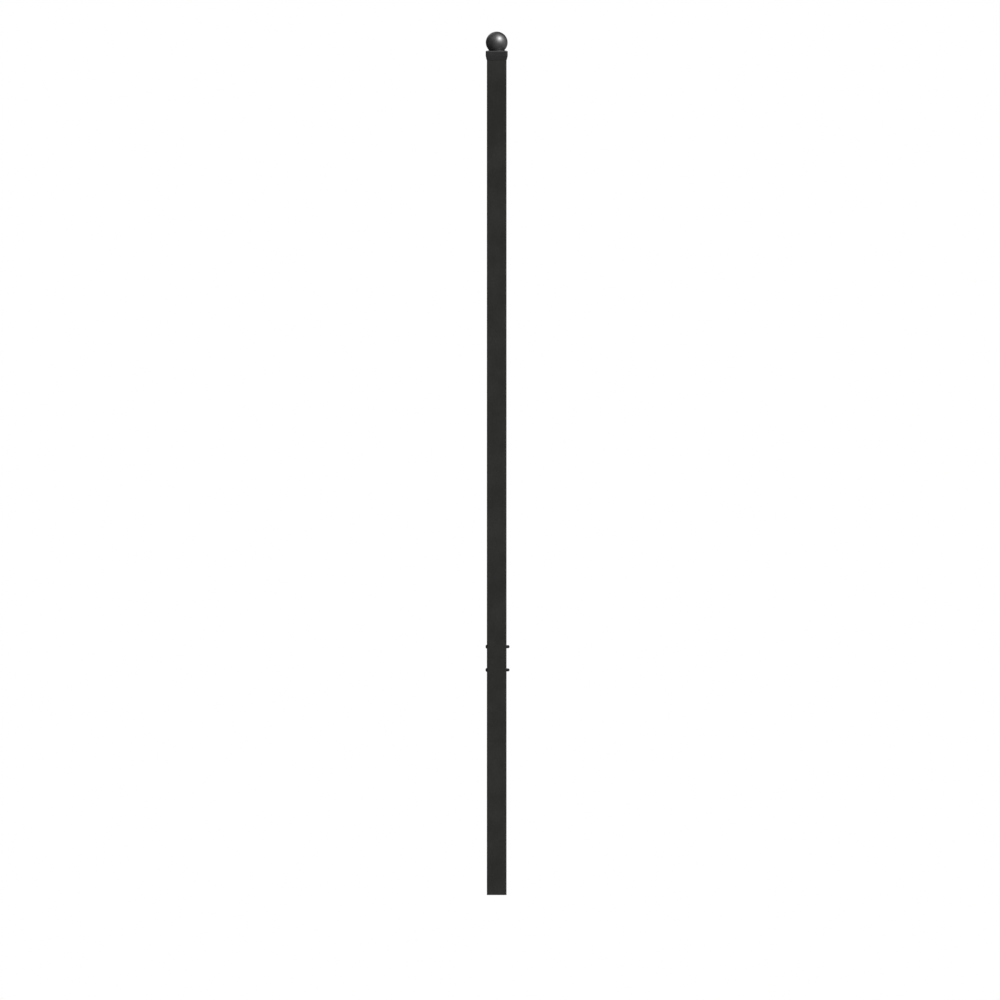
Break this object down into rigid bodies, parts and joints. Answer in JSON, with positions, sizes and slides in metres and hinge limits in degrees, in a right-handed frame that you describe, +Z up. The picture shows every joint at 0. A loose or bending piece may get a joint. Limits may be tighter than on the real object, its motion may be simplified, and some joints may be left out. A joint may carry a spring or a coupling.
{
  "type": "metal fence post",
  "caption": "Square steel fence post of tube sections spliced over an inner sleeve with cross bolts, closed by a cast cap that carries a ball; its open foot stands in a footing.",
  "frame": {"origin": "centre of the post's open foot, on the plane of its end face", "axes": "+Z up the post to the ball, -Y out of the front face, -X out of the face with the bolt heads and +X out of the face with the lock nuts"},
  "size_m": [0.0622, 0.057, 2.2301],
  "materials": {
    "post_coat": "satin black powder coat on steel tube",
    "cap_coat": "satin to semi-gloss black powder coat on an aluminium casting",
    "sleeve_zinc": "galvanised steel",
    "black_fastener": "black oxide steel",
    "zinc_fastener": "bright zinc plated steel"
  },
  "bodies": {
    "root": {"ground_post_tube": "post_coat", "upper_post_tube": "post_coat", "splice_sleeve": "sleeve_zinc", "lower_splice_bolt": "black_fastener", "upper_splice_bolt": "black_fastener", "lower_splice_nut": "black_fastener", "upper_splice_nut": "black_fastener", "cap_base": "cap_coat", "cap_neck": "cap_coat", "cap_ball": "cap_coat", "cap_screw": "zinc_fastener"}
  },
  "joints": []
}
